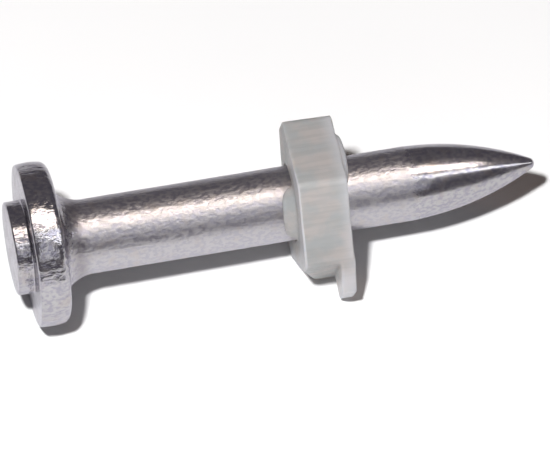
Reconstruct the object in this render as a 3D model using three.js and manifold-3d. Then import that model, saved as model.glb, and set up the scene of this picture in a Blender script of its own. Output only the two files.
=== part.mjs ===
// A powder-actuated drive pin lying on its side, with the plastic guide collar that
// centres it in the barrel of a fastening tool.
//
// Millimetres. +X runs along the pin from its strike face to its point, +Z is up, and
// the origin is the centre of the strike face. A station is a distance along +X.

import * as THREE from 'three';
import { mergeVertices } from 'three/addons/utils/BufferGeometryUtils.js';
import Module from 'manifold-3d';

const wasm = await Module();
wasm.setup();

// The pin is turned and the bore is cut with the same number of sides, so their facets line up.
const ROUND_SIDES = 48;

// Drive pin: a cold-headed steel nail. A raised boss stands on the outer face of its head.
const BOSS_RADIUS = 2.3;
const BOSS_HEIGHT = 0.8;
const BOSS_EDGE = 0.1;
const HEAD_RADIUS = 4.05;
const HEAD_THICKNESS = 1.55;
const HEAD_FACE_EDGE = 0.1;
const HEAD_REAR_ROUND = 0.45;
const SHANK_RADIUS = 1.84;
const NECK_RADIUS = 2.6;
const NECK_LENGTH = 1.5;
const NECK_FLARE = 0.6;
const SHANK_END = 19.86;
const POINT_BREAK_DEG = 1.5;
const POINT_RADIUS = 14.6;
const NOSE_RADIUS = 0.3;

// Guide collar: a moulded hexagonal nut shape, pushed onto the shank, lying on one flat.
const COLLAR_START = 13.93;
const COLLAR_LENGTH = 2.44;
const ACROSS_FLATS = 7.34;
const CORNER_ROUND = 0.15;
const END_ROUND = 0.08;
const BORE_CLEARANCE = 0.05;

// Sloping cuts on two sides of the rear end, each from its own distance from the axis.
const TRIMS = [
  { angleDeg: 230, start: 3.1, slopeDeg: 40 },
  { angleDeg: 340, start: 1.95, slopeDeg: 12 },
];

// The collar is snapped off a strip of collars, and the nib is what is left of a link.
// The lumps on its end faces are moulding flash that runs out along the shank. Directions
// are measured about the pin's axis, from +Y towards +Z.
const NIB_ANGLE_DEG = 210;
const NIB_REACH = 4.98;
const NIB_LENGTH = 0.72;
const NIB_LOW_SIDE = 0.9;
const NIB_TIP_SIDE = 0.6;
const NIB_ROOT_SIDE = 2.05;
const NIB_SETBACK = 0.06;
const NIB_EDGE = 0.1;
const LUMP_ROOT = 0.5;
const TOE_RADIUS = 2.05;
const FRONT_TOE = {
  angleDeg: 15,
  spreadDeg: 32,
  outline: [[0.15, 3], [0.3, 2.8], [0.5, 2.25], [0.65, TOE_RADIUS], [1.1, TOE_RADIUS]],
};
const FRONT_SWELL = {
  angleDeg: 88,
  spreadDeg: 31,
  outline: [[0.14, 3.5], [0.28, 3.35], [0.34, 2.6], [0.4, TOE_RADIUS]],
};
const REAR_LIP = {
  angleDeg: 150,
  spreadDeg: 46,
  outline: [[0.1, 2.55], [0.35, 2.35], [0.6, 2.12], [0.7, TOE_RADIUS]],
};

const COLLAR_END = COLLAR_START + COLLAR_LENGTH;
const BORE_RADIUS = SHANK_RADIUS + BORE_CLEARANCE;
const APOTHEM = ACROSS_FLATS / 2;
const CORNER_RADIUS = APOTHEM / Math.cos(Math.PI / 6);
const HEAD_BACK = BOSS_HEIGHT + HEAD_THICKNESS;
const NECK_END = HEAD_BACK + NECK_LENGTH;

const steel = new THREE.MeshStandardMaterial({ color: 0xb4b2b5, metalness: 1.0, roughness: 0.32 });
const plastic = new THREE.MeshStandardMaterial({
  color: 0xc9c9c4,
  metalness: 0.0,
  roughness: 0.45,
  transparent: true,
  opacity: 0.85,
});

// Points [station, radius] on a circle, from one angle to another. Angle 0 points away
// from the pin's axis and 90 degrees points along +X.
function arc(station, radius, arcRadius, from, to, steps) {
  const points = [];
  for (let i = 0; i <= steps; i += 1) {
    const angle = from + ((to - from) * i) / steps;
    points.push([station + arcRadius * Math.sin(angle), radius + arcRadius * Math.cos(angle)]);
  }
  return points;
}

// A solid turned about the X axis from an outline of [station, radius] points that
// starts and ends on the axis.
function turned(outline) {
  const profile = outline.map(([station, radius]) => new THREE.Vector2(radius, station));
  const geometry = new THREE.LatheGeometry(profile, ROUND_SIDES);
  geometry.rotateZ(-Math.PI / 2);
  return geometry;
}

// The boss, the flange of the head and the rounded edge behind it.
function headOutline() {
  return [
    [0, 0],
    [0, BOSS_RADIUS - BOSS_EDGE],
    [BOSS_EDGE, BOSS_RADIUS],
    [BOSS_HEIGHT, BOSS_RADIUS],
    [BOSS_HEIGHT, HEAD_RADIUS - HEAD_FACE_EDGE],
    [BOSS_HEIGHT + HEAD_FACE_EDGE, HEAD_RADIUS],
    ...arc(
      HEAD_BACK - HEAD_REAR_ROUND,
      HEAD_RADIUS - HEAD_REAR_ROUND,
      HEAD_REAR_ROUND,
      0,
      Math.PI / 2,
      5,
    ),
  ];
}

// The neck sweeps from the underside of the head into the shank.
function neckOutline() {
  const sweep = new THREE.QuadraticBezierCurve(
    new THREE.Vector2(HEAD_BACK, NECK_RADIUS),
    new THREE.Vector2(HEAD_BACK + NECK_FLARE, SHANK_RADIUS),
    new THREE.Vector2(NECK_END, SHANK_RADIUS),
  );
  return sweep.getPoints(7).map((point) => [point.x, point.y]);
}

// The point is an ogive that breaks away from the shank by a slight angle and ends in
// a small round nose.
function pointOutline() {
  const start = THREE.MathUtils.degToRad(POINT_BREAK_DEG);
  const centreStation = SHANK_END - POINT_RADIUS * Math.sin(start);
  const centreRadius = SHANK_RADIUS - POINT_RADIUS * Math.cos(start);
  const noseOffset = Math.sqrt((POINT_RADIUS - NOSE_RADIUS) ** 2 - centreRadius ** 2);
  const noseStation = centreStation + noseOffset;
  const end = Math.atan2(noseOffset, -centreRadius);
  const nose = arc(noseStation, 0, NOSE_RADIUS, end, Math.PI / 2, 5);
  return [
    ...arc(centreStation, centreRadius, POINT_RADIUS, start, end, 12),
    ...nose.slice(1, -1),
    [noseStation + NOSE_RADIUS, 0],
  ];
}

function drivePin() {
  return turned([...headOutline(), ...neckOutline(), ...pointOutline()]);
}

// A flat outline pushed along +X, with a bevel of a given size round both ends. The
// outline's own axes lie along +Y and +Z.
function extrudedAlongX(shape, start, length, curveSegments, bevel = 0) {
  const geometry = new THREE.ExtrudeGeometry(shape, {
    depth: length - 2 * bevel,
    bevelEnabled: bevel > 0,
    bevelThickness: bevel,
    bevelSize: bevel,
    bevelOffset: -bevel,
    bevelSegments: 1,
    curveSegments,
  });
  const axes = new THREE.Matrix4().makeBasis(
    new THREE.Vector3(0, 1, 0),
    new THREE.Vector3(0, 0, 1),
    new THREE.Vector3(1, 0, 0),
  );
  geometry.applyMatrix4(axes);
  geometry.translate(start + bevel, 0, 0);
  return geometry;
}

function toSolid(geometry) {
  geometry.deleteAttribute('normal');
  geometry.deleteAttribute('uv');
  const merged = mergeVertices(geometry);
  const vertProperties = new Float32Array(merged.attributes.position.array);
  const triVerts = new Uint32Array(merged.index.array);
  return new wasm.Manifold(new wasm.Mesh({ numProp: 3, vertProperties, triVerts }));
}

function toGeometry(solid) {
  const mesh = solid.getMesh();
  const geometry = new THREE.BufferGeometry();
  geometry.setAttribute('position', new THREE.BufferAttribute(mesh.vertProperties, 3));
  geometry.setIndex(new THREE.BufferAttribute(mesh.triVerts, 1));
  geometry.computeVertexNormals();
  return geometry;
}

// A hexagon with a corner on +Y, so that one of its flats faces down, and rounded corners.
function hexagonShape() {
  const shape = new THREE.Shape();
  const centreRadius = CORNER_RADIUS - CORNER_ROUND / Math.cos(Math.PI / 6);
  for (let corner = 0; corner < 6; corner += 1) {
    const angle = (corner * Math.PI) / 3;
    const y = centreRadius * Math.cos(angle);
    const z = centreRadius * Math.sin(angle);
    shape.absarc(y, z, CORNER_ROUND, angle - Math.PI / 6, angle + Math.PI / 6, false);
  }
  return shape;
}

// The nib stands on one flat, close to the collar's front end, and narrows to its tip.
function linkNib() {
  const shape = new THREE.Shape();
  shape.moveTo(BORE_RADIUS, -NIB_ROOT_SIDE);
  shape.lineTo(APOTHEM, -NIB_ROOT_SIDE);
  shape.lineTo(NIB_REACH - NIB_EDGE, -NIB_TIP_SIDE - NIB_EDGE);
  shape.lineTo(NIB_REACH, -NIB_TIP_SIDE);
  shape.lineTo(NIB_REACH, NIB_LOW_SIDE - NIB_EDGE);
  shape.lineTo(NIB_REACH - NIB_EDGE, NIB_LOW_SIDE);
  shape.lineTo(BORE_RADIUS, NIB_LOW_SIDE);
  const back = COLLAR_END - NIB_SETBACK - NIB_LENGTH;
  const nib = extrudedAlongX(shape, back, NIB_LENGTH, 1);
  nib.rotateX(THREE.MathUtils.degToRad(NIB_ANGLE_DEG));
  return nib;
}

// A lump on an end face of the collar. Its outline is a row of [distance from the face,
// radius]. Direction is 1 at the front end and -1 at the rear end.
function endLump(face, direction, { angleDeg, spreadDeg, outline }) {
  const [rootRadius, toe] = [outline[0][1], outline.at(-1)[0]];
  const closed = [[-LUMP_ROOT, 0], [-LUMP_ROOT, rootRadius], ...outline, [toe, 0]];
  const placed = closed.map(([offset, radius]) => [face + offset * direction, radius]);
  const ring = toSolid(turned(direction > 0 ? placed : placed.reverse()));
  const sector = new THREE.Shape();
  const spread = THREE.MathUtils.degToRad(spreadDeg);
  sector.moveTo(0, 0);
  sector.lineTo(CORNER_RADIUS * Math.cos(spread), -CORNER_RADIUS * Math.sin(spread));
  sector.absarc(0, 0, CORNER_RADIUS, -spread, spread, false);
  const wedge = extrudedAlongX(sector, face - 2, 4, 8);
  wedge.rotateX(THREE.MathUtils.degToRad(angleDeg));
  return ring.intersect(toSolid(wedge));
}

// A block whose sloping face trims one side of the collar's rear end.
function trimCutter({ angleDeg, start, slopeDeg }) {
  const shape = new THREE.Shape();
  const reach = 3;
  const rise = reach * Math.tan(THREE.MathUtils.degToRad(slopeDeg));
  shape.moveTo(COLLAR_START - rise, start - reach);
  shape.lineTo(COLLAR_START + rise, start + reach);
  shape.lineTo(COLLAR_START - rise, start + reach);
  const block = new THREE.ExtrudeGeometry(shape, { depth: 2 * CORNER_RADIUS, bevelEnabled: false });
  block.translate(0, 0, -CORNER_RADIUS);
  block.rotateX(THREE.MathUtils.degToRad(angleDeg));
  return toSolid(block);
}

function boreCutter() {
  const clear = 3;
  return turned([
    [COLLAR_START - clear, 0],
    [COLLAR_START - clear, BORE_RADIUS],
    [COLLAR_END + clear, BORE_RADIUS],
    [COLLAR_END + clear, 0],
  ]);
}

function guideCollar() {
  const hexagon = toSolid(extrudedAlongX(hexagonShape(), COLLAR_START, COLLAR_LENGTH, 3, END_ROUND));
  const trimmed = TRIMS.reduce((body, trim) => body.subtract(trimCutter(trim)), hexagon);
  const lumps = [
    endLump(COLLAR_END, 1, FRONT_TOE),
    endLump(COLLAR_END, 1, FRONT_SWELL),
    endLump(COLLAR_START, -1, REAR_LIP),
  ];
  const body = lumps.reduce((solid, lump) => solid.add(lump), trimmed.add(toSolid(linkNib())));
  return toGeometry(body.subtract(toSolid(boreCutter())));
}

function part(name, geometry, material) {
  const mesh = new THREE.Mesh(geometry, material);
  mesh.name = name;
  return mesh;
}

const driveFastener = new THREE.Group();
driveFastener.add(part('drive_pin', drivePin(), steel));
driveFastener.add(part('guide_collar', guideCollar(), plastic));

export default driveFastener;
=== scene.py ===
"""A powder-actuated drive pin and its plastic guide collar, lying on a pale table."""

import math

import bmesh
import bpy
from mathutils import Matrix, Vector, noise


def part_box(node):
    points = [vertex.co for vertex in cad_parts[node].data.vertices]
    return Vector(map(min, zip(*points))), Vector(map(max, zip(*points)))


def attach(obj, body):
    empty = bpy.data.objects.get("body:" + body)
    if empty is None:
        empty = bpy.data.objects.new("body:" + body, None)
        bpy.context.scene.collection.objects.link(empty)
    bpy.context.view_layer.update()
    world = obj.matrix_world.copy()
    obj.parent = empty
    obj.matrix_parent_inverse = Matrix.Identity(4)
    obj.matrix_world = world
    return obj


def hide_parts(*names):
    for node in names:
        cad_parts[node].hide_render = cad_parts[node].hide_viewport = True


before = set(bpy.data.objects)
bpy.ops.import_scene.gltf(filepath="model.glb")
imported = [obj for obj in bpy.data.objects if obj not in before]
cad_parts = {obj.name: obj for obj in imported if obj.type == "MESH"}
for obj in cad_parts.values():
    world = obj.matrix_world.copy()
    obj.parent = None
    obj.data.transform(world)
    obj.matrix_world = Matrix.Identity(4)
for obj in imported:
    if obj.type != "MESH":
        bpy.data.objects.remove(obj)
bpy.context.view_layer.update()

MM = 0.001
PIN_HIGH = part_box("drive_pin")[1]
COLLAR_LOW, COLLAR_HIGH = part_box("guide_collar")

# Drive pin, in millimetres. A station is a distance along +X from the strike face.
PIN_LENGTH = PIN_HIGH.x / MM
HEAD_RADIUS = PIN_HIGH.z / MM
BOSS_RADIUS = 2.3
BOSS_HEIGHT = 0.8
BOSS_EDGE = 0.1
BOSS_ROOT = 0.08
RIM_EDGE = 0.09
RIM_BULGE = 0.04
HEAD_BACK = 2.35
HEAD_REAR_ROUND = 0.45
SHANK_RADIUS = 1.84
NECK_RADIUS = 2.6
NECK_END = 3.85
NECK_FLARE = 0.6
SHANK_END = 19.86
POINT_BREAK = math.radians(1.5)
POINT_RADIUS = 14.6
NOSE_RADIUS = 0.3
PIN_SIDES = 224
PIN_WAVE = 0.006
PIN_GRAIN = 0.003
HEAD_WAVE = 0.01
NICK_LEVEL = 0.42
NICK_DEPTH = 0.12
NICK_MARGIN = 0.5

# Guide collar, in millimetres. Directions are about the pin's axis, from +Y towards +Z.
# A toe is how far the longest lump at that end reaches past the end face.
REAR_TOE = 0.7
FRONT_TOE = 1.1
COLLAR_START = COLLAR_LOW.x / MM + REAR_TOE
COLLAR_END = COLLAR_HIGH.x / MM - FRONT_TOE
APOTHEM = COLLAR_HIGH.z / MM
CORNER_RADIUS = APOTHEM / math.cos(math.pi / 6)
CORNER_ROUND = 0.4
BORE_RADIUS = 1.89
LEAN = math.radians(-1.6)
VOXEL = 0.05
SMOOTHINGS = 14
MOULD_WAVE = 0.008
MOULD_GRAIN = 0.004
BORE_MARGIN = 0.15
# Each trim is a direction, the distance from the axis where it starts, and its slope.
TRIMS = (
    (math.radians(230), 3.1, math.radians(40)),
    (math.radians(340), 1.95, math.radians(12)),
)
NIB_ANGLE = math.radians(210)
NIB_REACH = 4.98
NIB_LOW_SIDE = 0.9
NIB_TIP_SIDE = -0.6
NIB_ROOT_SIDE = -2.05
NIB_LENGTH = 0.72
NIB_SETBACK = 0.06
# A lump starts this deep inside the collar, and thins out to this radius.
LUMP_ROOT = 0.5
LUMP_THIN_RADIUS = 1.96
# Each lump is its direction, how far it spreads to each side, and its outline, which is a
# row of (distance from the end face, radius).
FRONT_TOE_LUMP = (
    math.radians(15),
    math.radians(34),
    ((0.15, 3.0), (0.3, 2.8), (0.5, 2.2), (0.65, 2.02), (FRONT_TOE, LUMP_THIN_RADIUS)),
)
FRONT_SWELL = (
    math.radians(88),
    math.radians(33),
    ((0.14, 3.55), (0.28, 3.4), (0.34, 2.6), (0.4, LUMP_THIN_RADIUS)),
)
REAR_LIP = (
    math.radians(150),
    math.radians(44),
    ((0.1, 2.35), (0.3, 2.18), (0.5, 2.02), (REAR_TOE, LUMP_THIN_RADIUS)),
)

# Table, camera and lights, in metres. Each light's direction is from the middle of the pin.
TABLE_HALF_WIDTH = 2.0
TARGET = Vector((13.03, -0.738, -0.606)) * MM
AZIMUTH, ELEVATION = math.radians(-12.2), math.radians(50)
BACK = Vector(
    (
        math.sin(AZIMUTH) * math.cos(ELEVATION),
        -math.cos(AZIMUTH) * math.cos(ELEVATION),
        math.sin(ELEVATION),
    )
)
CAMERA_DISTANCE = 0.3
VIEW_WIDTH = 26.96 * MM
SENSOR_WIDTH_MM = 36
KEY_PLACE = (-0.041, -0.091, 0.19)
KEY_RADIUS = 0.008
KEY_POWER = 2.6
STRIP_DISTANCE = 0.6


def arc(station, radius, size, start, end, steps):
    """Points (station, radius) on a circle. Angle 0 is away from the axis, and 90 degrees is +X."""
    points = []
    for i in range(steps + 1):
        angle = start + (end - start) * i / steps
        points.append((station + size * math.sin(angle), radius + size * math.cos(angle)))
    return points


def between(first, last, gap):
    """Points on a straight line, about one gap apart, without its ends."""
    count = max(1, round(math.dist(first, last) / gap))
    return [
        tuple(a + (b - a) * i / count for a, b in zip(first, last)) for i in range(1, count)
    ]


def bezier(start, handle, end, steps):
    """Points on a curve with one handle, with its ends."""
    points = []
    for i in range(steps + 1):
        t = i / steps
        points.append(
            tuple(
                (1 - t) ** 2 * a + 2 * t * (1 - t) * b + t**2 * c
                for a, b, c in zip(start, handle, end)
            )
        )
    return points


def head_outline():
    """The strike face, the boss on the flange, and the flange with its slightly bulging rim."""
    quarter = math.pi / 2
    boss = [(0, BOSS_RADIUS * i / 12) for i in range(1, 12)]
    boss += arc(BOSS_EDGE, BOSS_RADIUS - BOSS_EDGE, BOSS_EDGE, -quarter, 0, 5)
    boss += [(BOSS_HEIGHT * 0.4, BOSS_RADIUS), (BOSS_HEIGHT * 0.7, BOSS_RADIUS)]
    root_station, root_radius = BOSS_HEIGHT - BOSS_ROOT, BOSS_RADIUS + BOSS_ROOT
    groove = arc(root_station, root_radius, BOSS_ROOT, math.pi, quarter, 4)
    edge = HEAD_RADIUS - RIM_BULGE
    face = between(groove[-1], (BOSS_HEIGHT, edge - RIM_EDGE), 0.15)
    rim = arc(BOSS_HEIGHT + RIM_EDGE, edge - RIM_EDGE, RIM_EDGE, -quarter, 0, 4)
    rim_start, rim_end = rim[-1][0], HEAD_BACK - HEAD_REAR_ROUND
    for i in range(1, 10):
        t = i / 10
        bulge = RIM_BULGE * math.sin(math.pi * t)
        rim.append((rim_start + (rim_end - rim_start) * t, edge + bulge))
    rim += arc(rim_end, edge - HEAD_REAR_ROUND, HEAD_REAR_ROUND, 0, quarter, 10)
    return boss + groove + face + rim


def pin_outline():
    """The head, the flared neck, the shank, the ogive and the small round nose."""
    neck = bezier(
        (HEAD_BACK, NECK_RADIUS),
        (HEAD_BACK + NECK_FLARE, SHANK_RADIUS),
        (NECK_END, SHANK_RADIUS),
        18,
    )
    centre_station = SHANK_END - POINT_RADIUS * math.sin(POINT_BREAK)
    centre_radius = SHANK_RADIUS - POINT_RADIUS * math.cos(POINT_BREAK)
    nose_offset = math.sqrt((POINT_RADIUS - NOSE_RADIUS) ** 2 - centre_radius**2)
    nose_angle = math.atan2(nose_offset, -centre_radius)
    ogive = arc(centre_station, centre_radius, POINT_RADIUS, POINT_BREAK, nose_angle, 52)
    nose = arc(centre_station + nose_offset, 0, NOSE_RADIUS, nose_angle, math.pi / 2, 8)
    head = head_outline()
    return (
        head
        + between(head[-1], neck[0], 0.12)
        + neck
        + between(neck[-1], ogive[0], 0.12)
        + ogive
        + nose[1:-1]
    )


def mesh_object(name, build):
    """Makes an object from a function that fills a bmesh."""
    bm = bmesh.new()
    build(bm)
    bmesh.ops.recalc_face_normals(bm, faces=bm.faces)
    mesh = bpy.data.meshes.new(name)
    bm.to_mesh(mesh)
    bm.free()
    mesh.shade_smooth()
    obj = bpy.data.objects.new(name, mesh)
    bpy.context.scene.collection.objects.link(obj)
    return obj


def turn(bm, outline, first, last, sides):
    """Turns an outline about the X axis, and closes it with a point on the axis at each end."""
    rings = []
    for station, radius in outline:
        ring = []
        for k in range(sides):
            angle = 2 * math.pi * k / sides
            place = (station, radius * math.cos(angle), radius * math.sin(angle))
            ring.append(bm.verts.new(place))
        rings.append(ring)
    for a, b in zip(rings, rings[1:]):
        for k in range(sides):
            bm.faces.new((a[k], a[(k + 1) % sides], b[(k + 1) % sides], b[k]))
    for ring, station in ((rings[0], first), (rings[-1], last)):
        tip = bm.verts.new((station, 0, 0))
        for k in range(sides):
            bm.faces.new((ring[k], ring[(k + 1) % sides], tip))


def roughen_pin(bm):
    """Gives the turned shape the small faults of cold-headed wire: waves, marks and nicks."""
    for vert in bm.verts:
        at = vert.co.copy()
        radius = math.hypot(at.y, at.z)
        if radius < 1e-6:
            continue
        outward = Vector((0, at.y, at.z)) / radius
        wave = noise.noise(Vector((at.x * 0.35, at.y * 0.5, at.z * 0.5)))
        grain = noise.noise(at * 2.2)
        on_head = at.x < HEAD_BACK
        push = PIN_WAVE * wave + PIN_GRAIN * grain
        if on_head:
            push += HEAD_WAVE * noise.noise(at * 0.9)
        nick = noise.noise(at * 1.7 + Vector((7, 3, 1)))
        if on_head and radius > HEAD_RADIUS - NICK_MARGIN and nick > NICK_LEVEL:
            push -= (nick - NICK_LEVEL) * NICK_DEPTH
        vert.co = at + outward * push * min(1.0, radius)


def make_pin():
    def build(bm):
        turn(bm, pin_outline(), 0, PIN_LENGTH, PIN_SIDES)
        roughen_pin(bm)
        bmesh.ops.scale(bm, vec=(MM, MM, MM), verts=bm.verts)

    return mesh_object("pin_body", build)


def sweep(bm, sections):
    """A closed solid through a row of closed outlines that have the same number of points."""
    rings = [[bm.verts.new(point) for point in section] for section in sections]
    count = len(rings[0])
    for a, b in zip(rings, rings[1:]):
        for k in range(count):
            n = (k + 1) % count
            bm.faces.new((a[k], a[n], b[n], b[k]))
    bm.faces.new(rings[0][::-1])
    bm.faces.new(rings[-1])


def radial_section(outline, angle, offset=0.0):
    """An outline of (station, radius) points, stood up at an angle about the X axis."""
    turn_about = Matrix.Rotation(angle, 3, "X")
    return [turn_about @ Vector((station, radius, offset)) for station, radius in outline]


def hexagon_section(station):
    """The collar's outline: a corner on +Y, so that one flat faces down, and round corners."""
    steps = 3
    centre = CORNER_RADIUS - CORNER_ROUND / math.cos(math.pi / 6)
    points = []
    for corner in range(6):
        middle = corner * math.pi / 3
        for i in range(steps + 1):
            a = middle - math.pi / 6 + math.pi / 3 * i / steps
            y = centre * math.cos(middle) + CORNER_ROUND * math.cos(a)
            z = centre * math.sin(middle) + CORNER_ROUND * math.sin(a)
            points.append((station, y, z))
    return points


def slab(name, outline, angle, width):
    """A (station, radius) outline pushed sideways, and turned about the X axis to an angle."""
    sections = [radial_section(outline, angle, side * width / 2) for side in (-1, 1)]
    return mesh_object(name, lambda bm: sweep(bm, sections))


def trim_block(angle, start, slope):
    """A block whose sloping face trims one side of the collar's rear end."""
    reach = 3
    rise = reach * math.tan(slope)
    outline = [
        (COLLAR_START - rise, start - reach),
        (COLLAR_START + rise, start + reach),
        (COLLAR_START - rise - 1, start + reach),
        (COLLAR_START - rise - 1, start - reach),
    ]
    return slab("trim", outline, angle, 2 * CORNER_RADIUS)


def nib():
    """The snapped-off link on one flat, which narrows to its tip."""
    root = 2.2
    outline = [
        (root, NIB_LOW_SIDE),
        (NIB_REACH, NIB_LOW_SIDE),
        (NIB_REACH, NIB_TIP_SIDE),
        (APOTHEM, NIB_ROOT_SIDE),
        (root, NIB_ROOT_SIDE),
    ]
    turn_about = Matrix.Rotation(NIB_ANGLE, 3, "X")
    front = COLLAR_END - NIB_SETBACK
    sections = [
        [turn_about @ Vector((station, out, side)) for out, side in outline]
        for station in (front - NIB_LENGTH, front)
    ]
    return mesh_object("nib", lambda bm: sweep(bm, sections))


def lump(face, direction, middle, half_angle, outline):
    """A rounded swelling on an end face that thins out along the shank and to both sides."""
    steps = 24
    inside, floor_radius = 0.5, 1.9
    sections = []
    for i in range(steps + 1):
        side = 2 * i / steps - 1
        tall = math.sqrt(1 - 0.96 * abs(side) ** 3)
        points = [(-LUMP_ROOT, inside), (-LUMP_ROOT, outline[0][1])]
        for along, radius in outline:
            points.append((along * tall, floor_radius + (radius - floor_radius) * tall))
        points.append((outline[-1][0] * tall, inside))
        placed = [(face + along * direction, radius) for along, radius in points]
        sections.append(radial_section(placed, middle + side * half_angle))
    return mesh_object("lump", lambda bm: sweep(bm, sections))


def apply_modifiers(obj):
    """Replaces the mesh with what its modifiers make of it."""
    graph = bpy.context.evaluated_depsgraph_get()
    mesh = bpy.data.meshes.new_from_object(obj.evaluated_get(graph))
    obj.modifiers.clear()
    obj.data = mesh


def boolean(target, cutter, operation):
    """Joins or cuts the target with another solid, which is used up."""
    modifier = target.modifiers.new(operation, "BOOLEAN")
    modifier.operation = operation
    modifier.solver = "EXACT"
    modifier.object = cutter
    apply_modifiers(target)
    bpy.data.objects.remove(cutter)


def even_out(obj):
    """Remeshes a solid evenly, rounds its edges and gives it the slight waves of a moulding."""
    remesh = obj.modifiers.new("even", "REMESH")
    remesh.mode = "VOXEL"
    remesh.voxel_size = VOXEL
    soften = obj.modifiers.new("soften", "SMOOTH")
    soften.factor = 0.5
    soften.iterations = SMOOTHINGS
    apply_modifiers(obj)
    moves = []
    for vert in obj.data.vertices:
        clear_of_bore = math.hypot(vert.co.y, vert.co.z) > BORE_RADIUS + BORE_MARGIN
        wave = MOULD_WAVE * noise.noise(vert.co * 0.8)
        wave += MOULD_GRAIN * noise.noise(vert.co * 2.4)
        moves.append(vert.normal * wave * clear_of_bore)
    for vert, move in zip(obj.data.vertices, moves):
        vert.co += move


def make_collar():
    """The trimmed hexagon, leaned on the shank, with its nib and lumps, bored and smoothed."""
    sections = [hexagon_section(COLLAR_START), hexagon_section(COLLAR_END)]
    collar = mesh_object("collar_body", lambda bm: sweep(bm, sections))
    for angle, start, slope in TRIMS:
        boolean(collar, trim_block(angle, start, slope), "DIFFERENCE")
    centre = Vector(((COLLAR_START + COLLAR_END) / 2, 0, 0))
    lean = Matrix.Rotation(LEAN, 4, "Z")
    collar.data.transform(Matrix.Translation(centre) @ lean @ Matrix.Translation(-centre))
    boolean(collar, nib(), "UNION")
    boolean(collar, lump(COLLAR_END, 1, *FRONT_TOE_LUMP), "UNION")
    boolean(collar, lump(COLLAR_END, 1, *FRONT_SWELL), "UNION")
    boolean(collar, lump(COLLAR_START, -1, *REAR_LIP), "UNION")
    first, last = COLLAR_START - 3, COLLAR_END + 3
    outline = [(first, BORE_RADIUS), (last, BORE_RADIUS)]
    bore = mesh_object("bore", lambda bm: turn(bm, outline, first, last, 192))
    boolean(collar, bore, "DIFFERENCE")
    even_out(collar)
    collar.data.transform(Matrix.Scale(MM, 4))
    collar.data.shade_smooth()
    return collar


def add(tree, kind, inputs, **settings):
    """Adds a node. An input given as a socket is linked, and any other is set as a value."""
    made = tree.nodes.new("ShaderNode" + kind)
    for name, value in settings.items():
        setattr(made, name, value)
    for name, value in inputs.items():
        if isinstance(value, bpy.types.NodeSocket):
            tree.links.new(value, made.inputs[name])
        else:
            made.inputs[name].default_value = value
    return made


def calculate(tree, operation, a, b=0.0):
    return add(tree, "Math", {0: a, 1: b}, operation=operation).outputs[0]


def speckle(tree, coords, scale, detail=3.0):
    inputs = {"Vector": coords, "Scale": scale, "Detail": detail}
    return add(tree, "TexNoise", inputs).outputs["Fac"]


def ramp(tree, value, low, high, to_low=0.0, to_high=1.0):
    """Carries a value from one range to another, smoothly, and holds it at both ends."""
    inputs = {"Value": value, "From Min": low, "From Max": high, "To Min": to_low, "To Max": to_high}
    return add(tree, "MapRange", inputs, interpolation_type="SMOOTHSTEP").outputs["Result"]


def blend(tree, factor, a, b):
    """Mixes two colours, or two numbers, by a factor."""
    return add(tree, "Mix", {0: factor, 6: a, 7: b}, data_type="RGBA").outputs[2]


def stretched(tree, coords, scale):
    """The coordinates times a scale of their own along each axis."""
    return add(tree, "Mapping", {"Vector": coords, "Scale": scale}).outputs["Vector"]


def new_material(name):
    """A material, its tree and shader, and its piece's own coordinates in millimetres."""
    material = bpy.data.materials.new(name)
    material.use_nodes = True
    tree = material.node_tree
    place = add(tree, "TexCoord", {}).outputs["Object"]
    coords = stretched(tree, place, (1 / MM, 1 / MM, 1 / MM))
    return material, tree, tree.nodes["Principled BSDF"], coords


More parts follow.
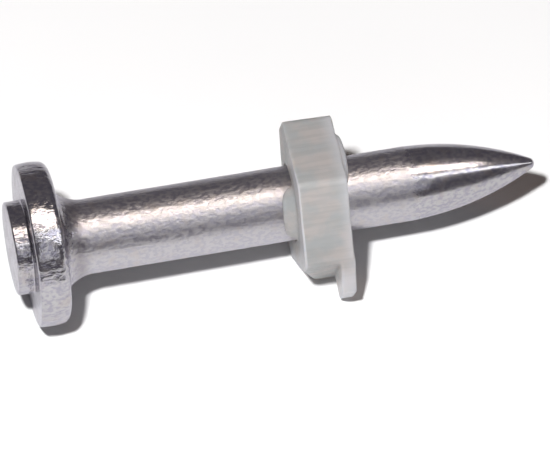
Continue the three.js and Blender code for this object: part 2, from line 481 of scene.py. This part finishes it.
def steel_material():
    """Zinc-plated steel: a frosted shank, a smoother point, a dented head that shines most, and
    painted shade on the neck next to the head.
    """
    material, tree, shader, coords = new_material("zinc_plated_steel")
    station = add(tree, "SeparateXYZ", {"Vector": coords}).outputs["X"]
    frosted_start = ramp(tree, station, HEAD_BACK - 0.1, NECK_END - 0.6)
    frosted_end = ramp(tree, station, SHANK_END - 0.4, SHANK_END + 0.5, 1.0, 0.0)
    frosted = calculate(tree, "MULTIPLY", frosted_start, frosted_end)
    on_head = ramp(tree, station, HEAD_BACK - 0.1, HEAD_BACK + 0.3, 1.0, 0.0)

    fine = speckle(tree, stretched(tree, coords, (0.7, 1.0, 1.0)), 5.5, 3.0)
    blotch = speckle(tree, coords, 1.6, 3.0)
    drawn = speckle(tree, stretched(tree, coords, (0.25, 3.2, 3.2)), 1.0, 4.0)
    dent = speckle(tree, coords, 0.8, 1.0)
    pits = ramp(tree, speckle(tree, coords, 5.5, 2.0), 0.62, 0.76)

    silver = (0.47, 0.46, 0.475, 1)
    violet = (0.36, 0.35, 0.40, 1)
    warm = (0.45, 0.41, 0.39, 1)
    pit_dark = (0.16, 0.14, 0.15, 1)
    frost_pale = (0.80, 0.78, 0.81, 1)
    # A painted shade colour for the neck: the flange's shadow and dark reflection there.
    painted_neck_shade = (0.16, 0.135, 0.14, 1)
    colour = blend(tree, ramp(tree, fine, 0.40, 0.58, 1.0, 0.0), silver, violet)
    colour = blend(tree, ramp(tree, blotch, 0.52, 0.72, 0.0, 0.6), colour, warm)
    colour = blend(tree, calculate(tree, "MULTIPLY", pits, 0.3), colour, pit_dark)
    colour = blend(tree, calculate(tree, "MULTIPLY", frosted, 0.14), colour, frost_pale)
    # Painted shade: the neck next to the head is darkened to stand in for the flange's shadow and its
    # dark reflection.
    neck_shade_fade = ramp(tree, station, NECK_END - 0.8, NECK_END, 0.45, 0.0)
    neck = calculate(tree, "MULTIPLY", frosted_start, neck_shade_fade)
    colour = blend(tree, neck, colour, painted_neck_shade)
    tree.links.new(colour, shader.inputs["Base Color"])

    frosted_rough = ramp(tree, fine, 0.3, 0.7, 0.30, 0.46)
    point_rough = ramp(tree, drawn, 0.3, 0.7, 0.14, 0.26)
    head_rough = ramp(tree, blotch, 0.3, 0.7, 0.10, 0.24)
    rough = blend(tree, frosted, blend(tree, on_head, point_rough, head_rough), frosted_rough)
    tree.links.new(rough, shader.inputs["Roughness"])
    shader.inputs["Metallic"].default_value = 1.0
    shader.inputs["Specular Tint"].default_value = (0.75, 0.74, 0.78, 1)

    smooth_point = ramp(tree, station, SHANK_END - 0.4, SHANK_END + 0.5, 1.0, 0.25)
    frost = calculate(tree, "MULTIPLY", fine, smooth_point)
    grain = add(tree, "Bump", {"Height": frost, "Strength": 0.6, "Distance": 0.04 * MM})
    marks = add(
        tree,
        "Bump",
        {"Height": drawn, "Strength": 0.3, "Distance": 0.012 * MM, "Normal": grain.outputs["Normal"]},
    )
    dents = add(
        tree,
        "Bump",
        {
            "Height": calculate(tree, "MULTIPLY", dent, on_head),
            "Strength": 0.6,
            "Distance": 0.2 * MM,
            "Normal": marks.outputs["Normal"],
        },
    )
    tree.links.new(dents.outputs["Normal"], shader.inputs["Normal"])
    return material


def plastic_material():
    """Natural, milky plastic with fine flow lines along the pin, and a painted glow at its ends and
    nib that stands in for light shining through the thin plastic.
    """
    material, tree, shader, coords = new_material("milky_plastic")
    cloud = speckle(tree, coords, 0.9, 3.0)
    fine = speckle(tree, coords, 6.0, 3.0)
    lines = speckle(tree, stretched(tree, coords, (0.4, 5.0, 5.0)), 1.0, 3.0)
    cool = (0.47, 0.485, 0.49, 1)
    warm = (0.57, 0.53, 0.515, 1)
    line_grey = (0.36, 0.365, 0.36, 1)
    # The pale colour is painted light: the glow of light through the thin ends and nib.
    pale = (0.76, 0.75, 0.79, 1)
    colour = blend(tree, ramp(tree, cloud, 0.35, 0.65), cool, warm)
    colour = blend(tree, ramp(tree, lines, 0.4, 0.62, 0.0, 0.3), colour, line_grey)
    station = add(tree, "SeparateXYZ", {"Vector": coords}).outputs["X"]
    half = (COLLAR_END - COLLAR_START) / 2
    past_middle = calculate(tree, "SUBTRACT", station, COLLAR_START + half)
    from_middle = calculate(tree, "ABSOLUTE", past_middle)
    across = stretched(tree, coords, (0, 1, 1))
    radius = add(tree, "VectorMath", {0: across}, operation="LENGTH").outputs["Value"]
    # Painted light: the outer parts of the ends, the front and the nib are blended towards the pale
    # colour, a painted glow of light through thin plastic and off its edges.
    near_end = ramp(tree, from_middle, half - 0.03, half + 0.03)
    near_front = ramp(tree, station, COLLAR_END - 0.8, COLLAR_END + 0.2)
    on_nib = ramp(tree, radius, 4.2, 4.6)
    painted_glow_zone = calculate(tree, "MAXIMUM", near_end, calculate(tree, "MAXIMUM", near_front, on_nib))
    painted_glow_zone = calculate(tree, "MULTIPLY", painted_glow_zone, ramp(tree, radius, 2.4, 3.0))
    colour = blend(tree, calculate(tree, "MULTIPLY", painted_glow_zone, 0.7), colour, pale)
    tree.links.new(colour, shader.inputs["Base Color"])
    tree.links.new(ramp(tree, fine, 0.3, 0.7, 0.40, 0.55), shader.inputs["Roughness"])
    shader.inputs["Subsurface Weight"].default_value = 0.8
    shader.inputs["Subsurface Radius"].default_value = (1.0, 0.9, 0.8)
    shader.inputs["Subsurface Scale"].default_value = 0.7 * MM
    shader.inputs["IOR"].default_value = 1.5
    shader.inputs["Specular IOR Level"].default_value = 0.15
    shader.inputs["Transmission Weight"].default_value = 0.45
    flow = add(tree, "Bump", {"Height": lines, "Strength": 0.5, "Distance": 0.025 * MM})
    skin = add(
        tree,
        "Bump",
        {"Height": fine, "Strength": 0.25, "Distance": 0.01 * MM, "Normal": flow.outputs["Normal"]},
    )
    tree.links.new(skin.outputs["Normal"], shader.inputs["Normal"])
    return material


def floor_material():
    """A matt, nearly white table top with a faint haze."""
    material, tree, shader, coords = new_material("pale_table")
    haze = speckle(tree, coords, 0.05, 2.0)
    colour = blend(tree, haze, (0.84, 0.84, 0.845, 1), (0.87, 0.87, 0.87, 1))
    tree.links.new(colour, shader.inputs["Base Color"])
    shader.inputs["Roughness"].default_value = 0.8
    shader.inputs["Specular IOR Level"].default_value = 0.2
    return material


def make_floor():
    """A pale table top that touches the rim of the head and the collar's lower flat."""
    rim_contact = Vector((HEAD_BACK - HEAD_REAR_ROUND, 0, -HEAD_RADIUS)) * MM
    flat_contact = Vector((COLLAR_END, 0, -APOTHEM)) * MM
    slope = math.atan2(flat_contact.z - rim_contact.z, flat_contact.x - rim_contact.x)

    def build(bm):
        bmesh.ops.create_grid(bm, x_segments=8, y_segments=8, size=TABLE_HALF_WIDTH)

    floor = mesh_object("table_top", build)
    floor.location = rim_contact
    floor.rotation_euler = (0, -slope, 0)
    floor.data.materials.append(floor_material())


def make_camera():
    data = bpy.data.cameras.new("camera")
    camera = bpy.data.objects.new("camera", data)
    bpy.context.scene.collection.objects.link(camera)
    data.sensor_width = SENSOR_WIDTH_MM
    data.lens = SENSOR_WIDTH_MM * CAMERA_DISTANCE / VIEW_WIDTH
    data.clip_start, data.clip_end = 0.01, 10
    camera.location = TARGET + BACK * CAMERA_DISTANCE
    camera.rotation_euler = (-BACK).to_track_quat("-Z", "Y").to_euler()
    bpy.context.scene.camera = camera


def make_strip(name, toward, length, width, energy, colour):
    """A soft box with its long side along the pin, which faces the pin from a given side."""
    data = bpy.data.lights.new(name, "AREA")
    light = bpy.data.objects.new(name, data)
    bpy.context.scene.collection.objects.link(light)
    toward = Vector(toward).normalized()
    across = toward.cross(Vector((1, 0, 0))).normalized()
    along = across.cross(toward)
    turned = Matrix((along, across, toward)).transposed().to_4x4()
    light.matrix_world = Matrix.Translation(TARGET + toward * STRIP_DISTANCE) @ turned
    data.shape = "RECTANGLE"
    data.size = length
    data.size_y = width
    data.energy = energy
    data.color = colour
    return light


def make_key():
    """The small lamp that casts the shadows. The steel reflects the strip key_glint instead."""
    data = bpy.data.lights.new("key", "POINT")
    key = bpy.data.objects.new("key", data)
    bpy.context.scene.collection.objects.link(key)
    key.location = KEY_PLACE
    data.shadow_soft_size = KEY_RADIUS
    data.energy = KEY_POWER
    key.visible_glossy = False


def make_lights():
    """Lights for the matt surfaces and their shadows, and strips that only gloss reflects."""
    make_key()
    lamp = make_strip("lamp", (0.2, 0.1, 0.95), 0.3, 0.2, 0.11, (1.0, 0.50, 0.27))
    fill = make_strip("fill", (0.0, -0.98, 0.18), 0.5, 0.3, 0.74, (0.96, 0.98, 1.0))
    for light in (lamp, fill):
        light.visible_glossy = False
    wall = make_strip("wall", (0.06, -0.80, 0.60), 0.3, 0.26, 0.19, (0.95, 0.96, 1.0))
    glint = make_strip("key_glint", (0.45, -0.43, 0.80), 1.1, 0.075, 1.0, (0.97, 0.98, 1.0))
    overhead = make_strip("overhead", (0.20, -0.075, 0.97), 0.62, 0.17, 1.85, (1.0, 0.89, 0.78))
    for light in (wall, glint, overhead):
        light.visible_diffuse = False


def make_world():
    """A dim, slightly violet room, dimmer still as a fill light, and pale behind the table."""
    world = bpy.data.worlds.new("room")
    bpy.context.scene.world = world
    world.use_nodes = True
    tree = world.node_tree
    background = tree.nodes["Background"]
    path = add(tree, "LightPath", {})
    mirrored = (0.145, 0.134, 0.148, 1)
    filling = (0.025, 0.022, 0.024, 1)
    backdrop = (0.9, 0.9, 0.9, 1)
    room = blend(tree, path.outputs["Is Diffuse Ray"], mirrored, filling)
    colour = blend(tree, path.outputs["Is Camera Ray"], room, backdrop)
    tree.links.new(colour, background.inputs["Color"])


def finish_piece(piece, material, body, node):
    """Gives a piece its material and the body it rides on, and hides the CAD node it stands for."""
    piece.data.materials.append(material)
    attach(piece, body)
    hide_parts(node)


finish_piece(make_pin(), steel_material(), "pin", "drive_pin")
finish_piece(make_collar(), plastic_material(), "collar", "guide_collar")
make_floor()
make_camera()
make_lights()
make_world()
bpy.context.scene.view_settings.view_transform = "Standard"
